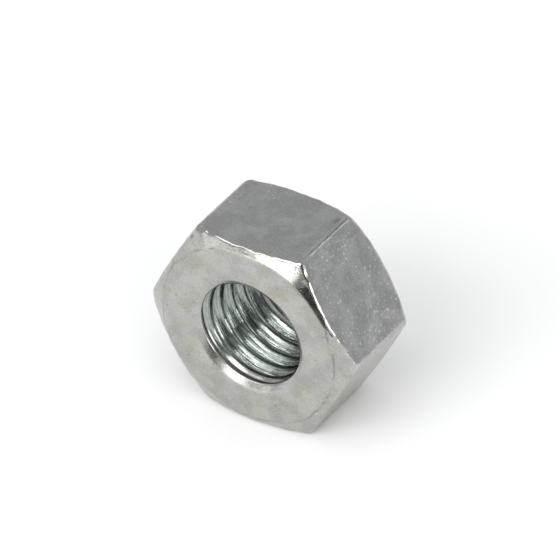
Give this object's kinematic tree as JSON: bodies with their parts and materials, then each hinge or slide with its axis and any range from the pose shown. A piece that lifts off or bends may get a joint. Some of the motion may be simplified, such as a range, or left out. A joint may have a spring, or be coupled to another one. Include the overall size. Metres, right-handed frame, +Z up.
{
  "type": "hex nut",
  "caption": "Plain hexagonal nut with a tapped bore, countersunk at both mouths and chamfered at both ends, for a metric bolt or stud.",
  "frame": {"origin": "centre of the flat that the nut stands on", "axes": "the nut stands on one flat with its bore level along Y: -Y is out of the front bearing face, +Z is up, out of the opposite flat, and two of the six corners point along +X and -X"},
  "size_m": [0.0216, 0.01, 0.019],
  "materials": {
    "zinc_plated_steel": "bright zinc plating, satin, with fine pits and specks"
  },
  "bodies": {
    "root": {"hex_nut": "zinc_plated_steel"}
  },
  "joints": []
}
